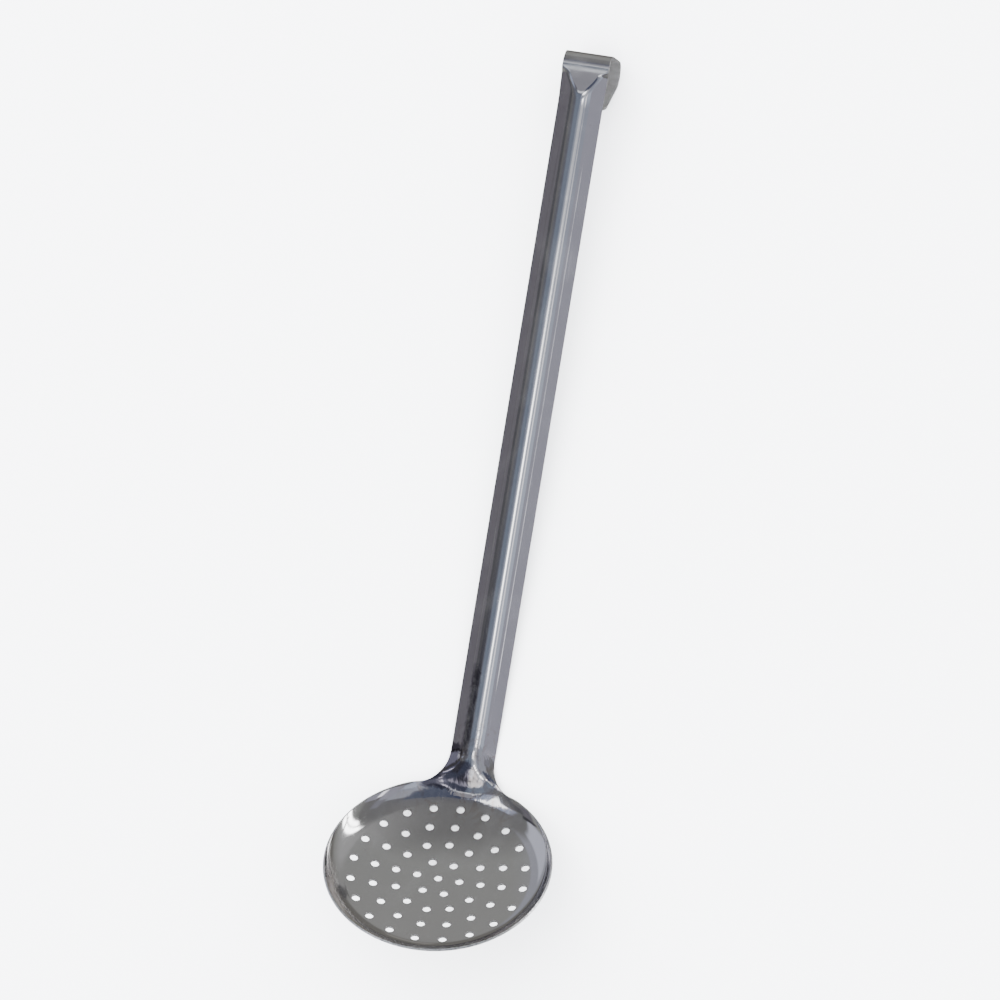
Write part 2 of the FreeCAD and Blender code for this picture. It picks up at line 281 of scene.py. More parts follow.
    def hip_height(self, x, s):
        handle = self.handle
        half_hip = self.ridge_fall(handle.hip_width / 2)
        hip_lift = half_hip - handle.hip_drop
        flat_lift = self.ridge_fall(self.flat_half_width) - half_hip + handle.edge_softness
        lift = hip_lift * np.maximum((s - self.flare_start) / handle.flare_length, 0.0) ** 2
        lift = lift + flat_lift * smooth_step((s - self.crease + self.hook.lead) / (2 * self.hook.lead))
        slope = -(s - handle.rim_to_hip) * handle.hip_drop / handle.hip_length
        foot = -self.soft_min(-slope, handle.hip_drop)
        hip = self.soft_min(lift - self.ridge_fall(x), foot)
        return np.where(s <= self.flare_start, -self.ridge_fall(x), hip)

    def side_of(self, s):
        """Half the width of the sheet at a station along the handle"""
        t = np.clip((s - self.flare_start) / self.handle.flare_length, 0.0, 1.0)
        return self.half_width + self.handle.edge_flare * t * t * (3 - 2 * t)

    def hook_path(self, t):
        """Place along and behind the handle, and heading, at a distance past the flat end"""
        along, behind, heading = self.strip_end, self.handle.hip_drop, 0.0
        for radius, before, after, run in self.bends:
            arc = radius * (after - before)
            turn = np.clip(t, 0.0, arc) / radius
            straight = np.clip(t - arc, 0.0, run)
            along += radius * (math.sin(before + turn) - math.sin(before)) + straight * math.cos(after)
            behind += radius * (math.cos(before) - math.cos(before + turn)) + straight * math.sin(after)
            heading += turn
            t -= arc + run
        return along, behind, heading


# Stations of the mesh: distances between its points in metres, and numbers of points and steps

FLOOR_SPACING = 0.0015
WALL_SPACING = 0.0007
NECK_SPACING = 0.0007
RIM_SPACING = 0.0010
HOLE_POINTS = 36
COLUMNS = 49
STRAIGHT_SPACING = 0.004
HIP_SPACING = 0.0004
HOOK_SPACING = 0.0006
CORNER_POINTS = 10
ROUND_STEPS = 3
# Points in a ring of the dish: at least so many, and so many times as far apart on the floor as on the wall
FEWEST_IN_RING = 6
FLOOR_EASE = 1.5
# Every second row of the neck is set off, and all points keep clear of the outline and the holes
ROW_OFFSET = NECK_SPACING / 4
OUTLINE_GAP = NECK_SPACING * 0.6
HOLE_GAP = FLOOR_SPACING / 3
# Triangles are kept inside the outline alone, and points this close are one
INSIDE_ONLY = 1
SAME_POINT = 1e-9
# The step over which a slope is measured
SLOPE_STEP = 1e-6
# The search for the turn that lays the skimmer down
TURN_RANGE = math.radians(30)
HALVINGS = 40
# Places across the sheet, as shares of its half width
ACROSS = np.linspace(-1.0, 1.0, COLUMNS)
# Material slots of the mesh
POLISHED, SHEARED, SATIN = range(3)


def steps(start, end, spacing):
    """Evenly spaced values from start to end, both included"""
    return np.linspace(start, end, max(int(round((end - start) / spacing)), 1) + 1)


def bowl_outline(form, y_join):
    """The edge of the upper face in plan, anticlockwise from the middle of the rim, and its last row"""
    fillet = form.handle.neck_fillet + form.edge
    cx, cy = form.fillet_x, form.fillet_y
    bearing = math.atan2(cy, cx)
    radius = form.rim_radius - form.edge
    side = form.half_width - form.edge
    rim = steps(-math.pi / 2, bearing, RIM_SPACING / radius)
    turn = steps(0.0, bearing, NECK_SPACING / fillet)[1:]
    right = [(radius * math.cos(a), radius * math.sin(a)) for a in rim]
    right += [(cx - fillet * math.cos(bearing - a), cy - fillet * math.sin(bearing - a)) for a in turn]
    right += [(side, y) for y in steps(cy, y_join, NECK_SPACING)[1:-1]]
    row = [(side * u, y_join) for u in ACROSS]
    left = [(-x, y) for x, y in right[1:]]
    return right + row[::-1] + left[::-1], row


def holes(form):
    """The middle of each hole in plan, ring by ring"""
    places = [(0.0, 0.0)]
    for ring, count in enumerate(form.dish.ring_counts, start=1):
        first = math.pi / count if ring == 1 else 0.0
        radius = ring * form.ring_pitch
        for k in range(count):
            bearing = first + 2 * math.pi * k / count
            places.append((radius * math.sin(bearing), radius * math.cos(bearing)))
    return places


def hole_loop(form, place):
    """The rim of one hole in plan, punched square to the spherical floor"""
    floor_radius = form.dish.floor_radius
    down = Vector((place[0], place[1], -math.sqrt(floor_radius ** 2 - place[0] ** 2 - place[1] ** 2)))
    down.normalize()
    side = down.orthogonal().normalized()
    other = down.cross(side)
    spread = math.asin((form.dish.hole_diameter / 2 + form.edge) / floor_radius)
    points = []
    for k in range(HOLE_POINTS):
        a = 2 * math.pi * k / HOLE_POINTS
        ray = down * math.cos(spread) + (side * math.cos(a) + other * math.sin(a)) * math.sin(spread)
        points.append((ray.x * floor_radius, ray.y * floor_radius))
    return points


def inner_points(form, y_join, places):
    """Points spread over the dish and the neck, clear of the outline and of the holes"""
    points = [np.zeros((1, 2))]
    radii = list(steps(0.0, form.wall_start, FLOOR_SPACING)[1:])
    radii += list(steps(form.wall_start, form.rim_radius - form.edge, WALL_SPACING)[1:-1])
    for r in radii:
        ease = 1.0 if r > form.wall_start else FLOOR_EASE
        count = int(2 * math.pi * r / RIM_SPACING / ease) + FEWEST_IN_RING
        a = np.arange(count) * 2 * math.pi / count
        points.append(np.stack([r * np.sin(a), r * np.cos(a)], 1))
    ring = np.concatenate(points)
    ring = ring[ring[:, 1] < form.neck_start_y]
    xs = steps(-form.fillet_x, form.fillet_x, NECK_SPACING)
    ys = np.arange(form.neck_start_y, y_join - NECK_SPACING / 2, NECK_SPACING)
    grid = np.stack(np.meshgrid(xs, ys), -1).reshape(-1, 2)
    grid[:, 0] += ROW_OFFSET * (np.round((grid[:, 1] - ys[0]) / NECK_SPACING) % 2 * 2 - 1)
    kept = np.concatenate([ring, grid])
    kept = kept[inside(form, kept, OUTLINE_GAP)]
    clear = form.dish.hole_diameter / 2 + form.edge + HOLE_GAP
    for place in places:
        kept = kept[np.hypot(kept[:, 0] - place[0], kept[:, 1] - place[1]) > clear]
    return kept


def inside(form, points, margin):
    """Which points in plan lie inside the edge of the upper face by a margin"""
    fillet = form.handle.neck_fillet + form.edge
    cx, cy = form.fillet_x, form.fillet_y
    x, y = np.abs(points[:, 0]), points[:, 1]
    in_rim = np.hypot(x, y) < form.rim_radius - form.edge - margin
    off_fillet = np.hypot(x - cx, y - cy) > fillet + margin
    low_y = cy * form.rim_radius / form.fillet_reach
    in_neck = (y > low_y) & (x < cx) & off_fillet & (y <= cy)
    on_handle = (y > cy) & (x < form.half_width - form.edge - margin)
    return in_rim | in_neck | on_handle


def bowl_patch(form, y_join):
    """Plan points and triangles of the dish and the neck, and the numbers of the points in the last row"""
    outline, row = bowl_outline(form, y_join)
    places = holes(form)
    points, edges, owner = [], [], []
    for which, loop in enumerate([outline] + [hole_loop(form, place) for place in places]):
        first, count = len(points), len(loop)
        points += loop
        edges += [(first + k, first + (k + 1) % count) for k in range(count)]
        owner += [which] * count
    inner = inner_points(form, y_join, places)
    points += [tuple(p) for p in inner]
    owner += [-1] * len(inner)
    made = delaunay_2d_cdt([Vector(p) for p in points], edges, [], INSIDE_ONLY, SAME_POINT)
    source = [ids[0] for ids in made[3]]
    triangles = np.array([[source[v] for v in face] for face in made[2]])
    rings = np.array(owner)[triangles]
    in_hole = (rings[:, 0] == rings[:, 1]) & (rings[:, 1] == rings[:, 2]) & (rings[:, 0] > 0)
    triangles = triangles[~in_hole]
    start = outline.index(row[-1])
    join = list(range(start, start + COLUMNS))[::-1]
    return np.array(points), triangles, join


def face_normals(height, a, b):
    """Unit normals of a face given as heights over two coordinates"""
    h = SLOPE_STEP
    slope_a = (height(a + h, b) - height(a - h, b)) / (2 * h)
    slope_b = (height(a, b + h) - height(a, b - h)) / (2 * h)
    normals = np.stack([-slope_a, -slope_b, np.ones_like(slope_a)], 1)
    return normals / np.linalg.norm(normals, axis=1)[:, None]


def strip_rows(form, y_join):
    """Rows of the handle and hook: distance along the sheet and half width"""
    last = form.hook_length - form.edge
    corner = form.hook.tip_corner - form.edge
    hip = steps(form.flare_start, form.strip_end, HIP_SPACING)
    near = (y_join - form.rim_radius) / math.cos(form.rise)
    straight = steps(near + STRAIGHT_SPACING / 4, form.flare_start, STRAIGHT_SPACING)[:-1]
    bend = form.strip_end + steps(0.0, last - corner, HOOK_SPACING)[1:]
    rows = [(s, form.side_of(s) - form.edge) for s in (*straight, *hip, *bend)]
    side = form.flat_half_width - form.edge
    for k in range(1, CORNER_POINTS + 1):
        a = math.pi / 2 * k / CORNER_POINTS
        rows.append((form.strip_end + last - corner + corner * math.sin(a), side - corner * (1 - math.cos(a))))
    return rows


def strip_patch(form, y_join):
    """Points and normals of the handle and the hook, in the handle's own frame, row by row"""
    points, normals = [], []
    for s, side in strip_rows(form, y_join):
        x = ACROSS * side
        if s <= form.strip_end:
            station = np.full(COLUMNS, s)
            points.append(np.stack([x, station, form.hip_height(x, station)], 1))
            normals.append(face_normals(form.hip_height, x, station))
        else:
            along, behind, heading = form.hook_path(s - form.strip_end)
            points.append(np.array([[value, along, -behind] for value in x]))
            normals.append(np.tile([0.0, math.sin(heading), math.cos(heading)], (COLUMNS, 1)))
    return np.concatenate(points), np.concatenate(normals)


def turned(vectors, turn):
    """Vectors turned about the X axis"""
    c, s = math.cos(turn), math.sin(turn)
    y = vectors[:, 1] * c - vectors[:, 2] * s
    z = vectors[:, 1] * s + vectors[:, 2] * c
    return np.stack([vectors[:, 0], y, z], 1)


def upper_face(form):
    """The whole upper face of the sheet, standing on its dish: points, normals and faces"""
    y_join = form.neck_end_y + NECK_SPACING
    plan, triangles, join = bowl_patch(form, y_join)
    bowl = np.column_stack([plan, form.neck_height(plan[:, 0], plan[:, 1])])
    bowl_normals = face_normals(form.neck_height, plan[:, 0], plan[:, 1])
    strip, strip_normals = strip_patch(form, y_join)
    strip = turned(strip, form.rise) + np.array([0.0, form.rim_radius, form.rim_crest_z])
    strip_normals = turned(strip_normals, form.rise)
    first = len(bowl)
    starts = range(first, first + len(strip), COLUMNS)
    rows = [join] + [list(range(start, start + COLUMNS)) for start in starts]
    faces = [list(map(int, t)) for t in triangles]
    for low, high in zip(rows, rows[1:]):
        faces += [[low[k], low[k + 1], high[k + 1], high[k]] for k in range(COLUMNS - 1)]
    return np.concatenate([bowl, strip]), np.concatenate([bowl_normals, strip_normals]), faces


def edge_loops(faces):
    """Closed loops of points round the open edges of a set of faces, each with the faces on its left"""
    directed = {(face[k], face[(k + 1) % len(face)]) for face in faces for k in range(len(face))}
    following = {a: b for a, b in directed if (b, a) not in directed}
    loops = []
    while following:
        start = min(following)
        loop = [start]
        step = following.pop(start)
        while step != start:
            loop.append(step)
            step = following.pop(step)
        loops.append(loop)
    return loops


def thickened(points, normals, faces, sheet, radius):
    """The sheet as a closed body: its two faces, and rounded edges between them all round each loop"""
    count = len(points)
    all_points = [points, points - normals * sheet]
    all_normals = [normals, -normals]
    all_faces = list(faces) + [[v + count for v in reversed(face)] for face in faces]
    edge_faces = []
    total = 2 * count
    quarter = [math.pi / 2 * k / ROUND_STEPS for k in range(ROUND_STEPS + 1)]
    # Round each edge: how far the normal points out and up, and how deep the place lies
    rounding = [(math.sin(a), math.cos(a), radius * (1 - math.cos(a))) for a in quarter[1:]]
    rounding += [(math.cos(a), -math.sin(a), sheet - radius * (1 - math.sin(a))) for a in quarter[:-1]]
    for loop in edge_loops(faces):
        at, up = points[loop], normals[loop]
        ahead = np.roll(at, -1, axis=0) - np.roll(at, 1, axis=0)
        out = np.cross(ahead, up)
        out /= np.linalg.norm(out, axis=1)[:, None]
        rings = [loop]
        for outward, upward, deep in rounding:
            all_points.append(at + out * radius * outward - up * deep)
            all_normals.append(up * upward + out * outward)
            rings.append(list(range(total, total + len(loop))))
            total += len(loop)
        rings.append([v + count for v in loop])
        for near, far in zip(rings, rings[1:]):
            for k in range(len(loop)):
                after = (k + 1) % len(loop)
                edge_faces.append([near[k], far[k], far[after], near[after]])
    return np.concatenate(all_points), np.concatenate(all_normals), all_faces, edge_faces


def resting_turn(points, form):
    """The turn about the X axis that sets the dish end and the hook end on the floor together"""
    middle = form.rim_radius + form.handle.rim_to_hip * math.cos(form.rise) / 2
    dish_end = points[points[:, 1] < middle]
    hook_end = points[points[:, 1] >= middle]
    low, high = -form.rise - TURN_RANGE, -form.rise + TURN_RANGE
    for _ in range(HALVINGS):
        turn = (low + high) / 2
        if turned(hook_end, turn)[:, 2].min() < turned(dish_end, turn)[:, 2].min():
            low = turn
        else:
            high = turn
    return (low + high) / 2


def sheet_mesh(form):
    """The finished sheet as a mesh, laid down on its dish and hook in the place of the CAD part"""
    points, normals, faces = upper_face(form)
    points, normals, faces, edge_faces = thickened(points, normals, faces, form.dish.sheet, form.edge)
    turn = resting_turn(points, form)
    points = turned(points, turn)
    normals = turned(normals, turn)
    low, high = points.min(axis=0), points.max(axis=0)
    middle = (CAD_LOW + CAD_HIGH) / 2
    points += np.array([middle.x, middle.y, CAD_LOW.z]) - np.array([*(low + high)[:2] / 2, low[2]])
    mesh = bpy.data.meshes.new("skimmer_sheet")
    mesh.from_pydata(points.tolist(), [], faces + edge_faces)
    mesh.polygons.foreach_set("use_smooth", [True] * len(mesh.polygons))
    side = len(faces) // 2
    slots = [POLISHED] * side + [SATIN] * side + [SHEARED] * len(edge_faces)
    mesh.polygons.foreach_set("material_index", slots)
    mesh.normals_split_custom_set_from_vertices(normals.tolist())
    mesh.validate()
    mesh.update()
    return mesh


# Objects and nodes

def add_object(name, data):
    """A new object in the scene"""
    made = bpy.data.objects.new(name, data)
    bpy.context.scene.collection.objects.link(made)
    return made


def put(tree, kind, inputs=None, **settings):
    """Add a node, with settings on the node and values or links on its inputs"""
    made = tree.nodes.new(kind)
    for name, value in settings.items():
        setattr(made, name, value)
    for key, value in (inputs or {}).items():
        socket = made.inputs[key]
        if isinstance(value, bpy.types.NodeSocket):
            tree.links.new(value, socket)
        else:
            socket.default_value = (*value, 1.0) if socket.type == "RGBA" else value
    return made


def calculate(tree, operation, *values):
    """The output of a Math node"""
    return put(tree, "ShaderNodeMath", dict(enumerate(values)), operation=operation).outputs[0]


def mixed(tree, share_of_second, first, second):
    """The colour output of a Mix node"""
    inputs = {0: share_of_second, 6: first, 7: second}
    return put(tree, "ShaderNodeMix", inputs, data_type="RGBA").outputs[2]


def ramped(tree, value, start, end, kind="SMOOTHSTEP"):
    """How far a value has come from a start to an end, from 0 to 1"""
    limits = {"Value": value, "From Min": start, "From Max": end}
    return put(tree, "ShaderNodeMapRange", limits, interpolation_type=kind).outputs[0]


def summed(tree, start, parts):
    """A start and, added to it, the value of each part times its amount"""
    total = start
    for value, amount in parts:
        total = calculate(tree, "ADD", calculate(tree, "MULTIPLY", value, amount), total)
    return total


def object_place(tree):
    """The place on the skimmer at rest, in metres"""
    return put(tree, "ShaderNodeTexCoord").outputs["Object"]


def new_group(name, inputs, outputs):
    """A shader node group: the default of each input by its name, and the names of its outputs, all values"""
    tree = bpy.data.node_groups.new(name, "ShaderNodeTree")
    for socket, default in inputs.items():
        kind = "NodeSocketVector" if isinstance(default, tuple) else "NodeSocketFloat"
        tree.interface.new_socket(socket, in_out="INPUT", socket_type=kind).default_value = default
    for socket in outputs:
        tree.interface.new_socket(socket, in_out="OUTPUT", socket_type="NodeSocketFloat")
    entry = tree.nodes.new("NodeGroupInput")
    leave = tree.nodes.new("NodeGroupOutput")
    return tree, entry.outputs, leave.inputs


def placed(tree, group, inputs=None, label=""):
    """The outputs of a node group placed with its own values"""
    return put(tree, "ShaderNodeGroup", inputs, node_tree=bpy.data.node_groups[group], label=label).outputs


# Node groups

# The noise of all streaks, its middle value, and the share of a pit's radius that is at full depth
NOISE = {"Scale": 1.0, "Detail": 3.0, "Roughness": 0.55}
NOISE_MIDDLE = 0.5
PIT_CORE = 0.6


def soft_window_group():
    """A node group: how much of a soft-edged window shows at a pair of values, such as two angles"""
    names = ("First", "Second", "First Centre", "Second Centre", "First Half", "Second Half", "Soft", "Slant")
    tree, go, out = new_group("soft_window", dict.fromkeys(names, 0.0), ("Mask",))
    second = calculate(tree, "SUBTRACT", go["Second"], go["Second Centre"])
    lean = calculate(tree, "MULTIPLY", second, go["Slant"])
    first = calculate(tree, "SUBTRACT", calculate(tree, "SUBTRACT", go["First"], go["First Centre"]), lean)
    masks = []
    for value, half in ((first, go["First Half"]), (second, go["Second Half"])):
        inner = calculate(tree, "SUBTRACT", half, go["Soft"])
        outer = calculate(tree, "ADD", half, go["Soft"])
        masks.append(ramped(tree, calculate(tree, "ABSOLUTE", value), outer, inner))
    tree.links.new(calculate(tree, "MULTIPLY", *masks), out["Mask"])


def streaks_group():
    """A node group: noise stretched to a size along each axis, and the parts of it above a level"""
    inputs = {"Size": (1.0, 1.0, 1.0), "Turn": (0.0, 0.0, 0.0), "Distortion": 0.0, "Level": 0.6,
              "Softness": 0.05}
    tree, go, out = new_group("streaks", inputs, ("Value", "Mask"))
    laying = {"Vector": object_place(tree), "Rotation": go["Turn"], "Scale": go["Size"]}
    laid = put(tree, "ShaderNodeMapping", laying, vector_type="TEXTURE").outputs[0]
    grain = {"Vector": laid, "Distortion": go["Distortion"], **NOISE}
    noise = put(tree, "ShaderNodeTexNoise", grain).outputs["Fac"]
    top = calculate(tree, "ADD", go["Level"], go["Softness"])
    tree.links.new(noise, out["Value"])
    tree.links.new(ramped(tree, noise, go["Level"], top), out["Mask"])


def specks_group():
    """A node group: a mask of tiny round pits, most of their places left empty"""
    tree, go, out = new_group("specks", {"Spacing": 0.006, "Radius": 0.0003, "Share": 0.3}, ("Mask",))
    scale = calculate(tree, "DIVIDE", 1.0, go["Spacing"])
    cells = put(tree, "ShaderNodeTexVoronoi", {"Vector": object_place(tree), "Scale": scale}).outputs
    radius = calculate(tree, "DIVIDE", go["Radius"], go["Spacing"])
    core = calculate(tree, "MULTIPLY", radius, PIT_CORE)
    near = ramped(tree, cells["Distance"], radius, core, "LINEAR")
    chance = put(tree, "ShaderNodeSeparateXYZ", {0: cells["Color"]}).outputs["X"]
    kept = calculate(tree, "LESS_THAN", chance, go["Share"])
    tree.links.new(calculate(tree, "MULTIPLY", near, kept), out["Mask"])


# Materials

def flat_turn(degrees):
    """A turn in the plane of the sheet"""
    return (0.0, 0.0, math.radians(degrees))


# Streaks of noise by name: what each gives the inputs of the streaks group. Sizes are in metres
STREAKS = {
    "fine_lines": {"Size": (0.0005, 0.05, 0.05)},
    "broad_lines": {"Size": (0.0016, 0.16, 0.16), "Distortion": 0.3},
    "wave": {"Size": (0.028, 0.055, 0.055), "Distortion": 0.4},
    "neck_wave": {"Size": (0.010, 0.016, 0.016), "Distortion": 1.2},
    "pucker": {"Size": (0.0011, 0.0014, 0.0014)},
    "scratches_along": {"Size": (0.0007, 0.045, 0.045), "Turn": flat_turn(3), "Level": 0.66},
    "scratches_across": {"Size": (0.020, 0.0006, 0.0006), "Turn": flat_turn(-24), "Level": 0.69},
    "smears": {"Size": (0.030, 0.050, 0.050), "Distortion": 1.5, "Level": 0.45, "Softness": 0.25},
    "warm_film": {"Size": (0.006, 0.010, 0.010), "Distortion": 1.0, "Level": 0.50, "Softness": 0.12},
    # Ragged edge of the painted dark reflection on the neck
    "painted_reflection_edge": {"Size": (0.004, 0.007, 0.007), "Distortion": 1.5},
    "rolled_grain": {"Size": (0.0006, 0.02, 0.02)},
    "back_blotches": {"Size": (0.012, 0.020, 0.020), "Distortion": 1.0, "Level": 0.42, "Softness": 0.3},
    "back_scratches": {"Size": (0.0007, 0.045, 0.045), "Turn": flat_turn(-5), "Level": 0.66},
    "torn": {"Size": (0.0012, 0.0012, 0.0004), "Level": 0.48, "Softness": 0.08},
    "shear_marks": {"Size": (0.00025, 0.00025, 0.002)},
}
# Patches of the skimmer at rest, in metres: middle across and along, half size, softness, and True if mirrored
# to the other side. WIDE reaches past every edge
WIDE = 1.0
PATCHES = {
    "neck": ((0.0, -0.145), (0.032, 0.024), 0.012),
    "pucker": ((-0.014, -0.153), (0.013, 0.009), 0.004),
    "handle": ((0.0, 0.040), (WIDE, 0.150), 0.020),
    "flank_line": ((0.0074, 0.0), (0.0002, WIDE), 0.0006, True),
    "far_wall": ((0.0, -0.238), (WIDE, 0.030), 0.008),
    "bend": ((0.0, 0.2405), (WIDE, 0.0135), 0.004),
}
# The painted dark reflection, a dark blue patch painted into the colour: patches as above with a strength
# last, and the values at which it starts and is full
PAINTED_DARK_REFLECTION = (
    ((-0.0115, -0.1490), (0.0125, 0.0085), 0.0030, 1.0),
    ((-0.0120, -0.1400), (0.0055, 0.0080), 0.0020, 0.9),
    ((-0.0045, -0.1180), (0.0030, 0.0300), 0.0020, 0.55),
)
PAINTED_DARK_REFLECTION_START, PAINTED_DARK_REFLECTION_FULL = 0.25, 0.85
# The rim's circle in metres: its middle, and how far from there the duller wall, also painted darker as shade,
# starts and is full
RIM_CENTRE = (0.0, -0.196, 0.044)
RIM_START, RIM_FULL = 0.051, 0.056
# What a pit adds to the roughness, the share that torn steel adds to a cut edge's, and the edge's bump
PIT_ROUGHNESS = 0.3
TORN_SHARE = 0.5
EDGE_BUMP = 0.6


def principled(name):
    """A new material, its node tree and its shader"""
    material = bpy.data.materials.new(name)
    material.use_nodes = True
    tree = material.node_tree
    shader = next(n for n in tree.nodes if n.type == "BSDF_PRINCIPLED")
    return material, tree, shader


def streaks(tree, name):
    """The outputs of the streaks group for one kind of streak"""
    return placed(tree, "streaks", STREAKS[name], name)


def window_mask(tree, at, centre, half, soft, slant=0.0, label=""):
    """The output of the soft window group at a pair of values"""
    inputs = {"Soft": soft, "Slant": slant}
    for k, order in enumerate(("First", "Second")):
        inputs.update({order: at[k], order + " Centre": centre[k], order + " Half": half[k]})
    return placed(tree, "soft_window", inputs, label)["Mask"]


def patch_mask(tree, centre, half, soft, mirrored=False):
    """Where a patch of the sheet lies, by its place across and along, and on both sides if mirrored"""
    part = put(tree, "ShaderNodeSeparateXYZ", {0: object_place(tree)}).outputs
    aside = calculate(tree, "ABSOLUTE", part["X"]) if mirrored else part["X"]
    return window_mask(tree, (aside, part["Y"]), centre, half, soft)


def painted_dark_reflection_mask(tree):
    """Where the painted dark blue reflection lies: on one side of the neck and along the ridge's foot, with
    ragged edges
    """
    patches = 0.0
    for *patch, strength in PAINTED_DARK_REFLECTION:
        part = calculate(tree, "MULTIPLY", patch_mask(tree, *patch), strength)
        patches = calculate(tree, "MAXIMUM", patches, part)
    ragged = calculate(tree, "SUBTRACT", streaks(tree, "painted_reflection_edge")["Value"], NOISE_MIDDLE)
    return ramped(tree, calculate(tree, "ADD", patches, ragged), PAINTED_DARK_REFLECTION_START, PAINTED_DARK_REFLECTION_FULL)


def rim_satin_and_shade_mask(tree):
    """The far wall of the dish near its rim, duller and painted darker as shade"""
    inputs = {0: object_place(tree), 1: RIM_CENTRE}
    away = put(tree, "ShaderNodeVectorMath", inputs, operation="DISTANCE").outputs["Value"]
    near_rim = ramped(tree, away, RIM_START, RIM_FULL)
    return calculate(tree, "MULTIPLY", near_rim, patch_mask(tree, *PATCHES["far_wall"]))


def relief(tree, waves, masks):
    """The height of a face: streaks about their middle, and masks, each times its depth"""
    parts = []
    for name, deep in waves:
        parts.append((calculate(tree, "SUBTRACT", streaks(tree, name)["Value"], NOISE_MIDDLE), deep))
    return summed(tree, 0.0, (*parts, *masks))


def join(tree, shader, base, rough, height, metal=1.0, strength=1.0):
    """Give the shader its colour, roughness, bump and share of bare metal"""
    bump = put(tree, "ShaderNodeBump", {"Height": height, "Distance": 1.0, "Strength": strength})
    for name, socket in (("Base Color", base), ("Roughness", rough), ("Normal", bump.outputs[0])):
        tree.links.new(socket, shader.inputs[name])
    shader.inputs["Metallic"].default_value = metal


def polished_steel(finish):
    """Steel polished before it was pressed: lines along it, wiping marks, scratches and a drawn neck, with a
    painted dark reflection on the neck and painted shade on the far wall
    """
    material, tree, shader = principled("polished_steel")
    places = ("neck", "pucker", "handle", "flank_line", "bend")
    neck, pucker, handle, flanks, bend = (patch_mask(tree, *PATCHES[name]) for name in places)
    flank_line = calculate(tree, "MULTIPLY", flanks, handle)
    # Mask of the far wall near the rim: duller steel, and painted darker as shade
    rim = rim_satin_and_shade_mask(tree)
    two_ways = (streaks(tree, name)["Mask"] for name in ("scratches_along", "scratches_across"))
    scratches = calculate(tree, "MAXIMUM", *two_ways)
    specks = placed(tree, "specks")["Mask"]
    warm = calculate(tree, "MULTIPLY", streaks(tree, "warm_film")["Mask"], neck)

    base = finish.steel
    for mask, shade in (
        (calculate(tree, "MULTIPLY", warm, finish.tint_share), finish.tint),
        # Painted dark reflection: a dark blue patch on one side of the neck
        (painted_dark_reflection_mask(tree), finish.film),
        # Painted shade: the far wall near the rim is painted darker and browner
        (rim, finish.painted_rim_shade),
        (specks, finish.speck),
    ):
        base = mixed(tree, mask, base, shade)
    rough = summed(tree, finish.roughness, (
        (streaks(tree, "smears")["Mask"], finish.smears),
        (scratches, finish.scratched),
        (specks, PIT_ROUGHNESS),
        (rim, finish.rim_satin),
        (bend, finish.bend_satin),
    ))
    waves = (
        ("fine_lines", finish.fine_lines),
        ("broad_lines", finish.broad_lines),
        ("wave", finish.wave),
        ("neck_wave", calculate(tree, "MULTIPLY", neck, finish.neck_wave)),
        ("pucker", calculate(tree, "MULTIPLY", pucker, finish.grain)),
    )
    masks = ((flank_line, -finish.crease), (scratches, -finish.scratch), (specks, -finish.scratch))
    join(tree, shader, base, rough, relief(tree, waves, masks))
    return material


def satin_back(finish):
    """The underside, left as the sheet was rolled: duller, with soft lengthwise grain and blotches"""
    material, tree, shader = principled("satin_back")
    blotches = streaks(tree, "back_blotches")["Mask"]
    scratches = streaks(tree, "back_scratches")["Mask"]
    clean = mixed(tree, blotches, finish.back, finish.steel)
    base = mixed(tree, placed(tree, "specks")["Mask"], clean, finish.speck)
    rough = summed(tree, finish.back_roughness, ((blotches, -finish.smears), (scratches, finish.scratched)))
    waves = (("rolled_grain", finish.broad_lines), ("wave", finish.wave))
    height = relief(tree, waves, ((scratches, -finish.scratch),))
    join(tree, shader, base, rough, height, metal=finish.back_metal)
    return material


def sheared_edge(finish):
    """A cut edge: bright where the shears burnished it and dull where it tore, with fine upright marks"""
    material, tree, shader = principled("sheared_edge")
    torn = streaks(tree, "torn")["Mask"]
    base = mixed(tree, torn, finish.edge, finish.torn)
    rough = summed(tree, finish.edge_roughness, ((torn, finish.edge_roughness * TORN_SHARE),))
    height = relief(tree, (("shear_marks", finish.shear),), ((torn, -finish.shear),))
    join(tree, shader, base, rough, height, strength=EDGE_BUMP)
    return material


class SKIMMER_OT_sheet(bpy.types.Operator):
    """Make the skimmer from one pressed sheet, with its punched dish, ridged handle and hanging hook"""

    bl_idname = "skimmer.sheet"
    bl_label = "Pressed Sheet"

    def execute(self, context):
        scene = context.scene
        mesh = sheet_mesh(SheetForm(scene.skimmer_dish, scene.skimmer_handle, scene.skimmer_hook))
        soft_window_group()
        streaks_group()
        specks_group()
        # In the order of the mesh's material slots
        for make_material in (polished_steel, sheared_edge, satin_back):
            mesh.materials.append(make_material(scene.skimmer_finish))
        piece = add_object("skimmer_sheet", mesh)
        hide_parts("skimmer")
        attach(piece, "root")
        return {"FINISHED"}


# What the polished steel mirrors: windows and walls of a plain room, each by two angles in degrees.
# Round the room these are the bearing from the hook end and the height; overhead, the lean from straight up
# to the right and towards the hook.
ROUND_ROOM = (
    # name, centre, half size, softness, colour, and slant where a window leans
    ("left_glow", (-56, 2), (28, 20), 5, (0.46, 0.47, 0.54)),
    ("left_wall", (-66, 7), (17, 17), 3, (0.76, 0.78, 0.92)),
    ("window_glow", (34, 8), (22, 14), 8, (0.52, 0.52, 0.52), -1.0),
    ("window", (60, 7), (12, 14), 2, (12.0, 12.0, 12.0), -1.8),
    ("window_bar", (60, 7), (1.6, 15), 1, (0.7, 0.7, 0.7), -1.8),
    ("window_rail", (60, 2), (14, 1.2), 0.8, (0.7, 0.7, 0.7), -1.8),
    ("left_side", (-94, 20), (10, 7), 2, (0.20, 0.19, 0.22)),
    ("low_shelf", (-11, -23), (5, 4), 1.5, (0.36, 0.35, 0.33)),
)
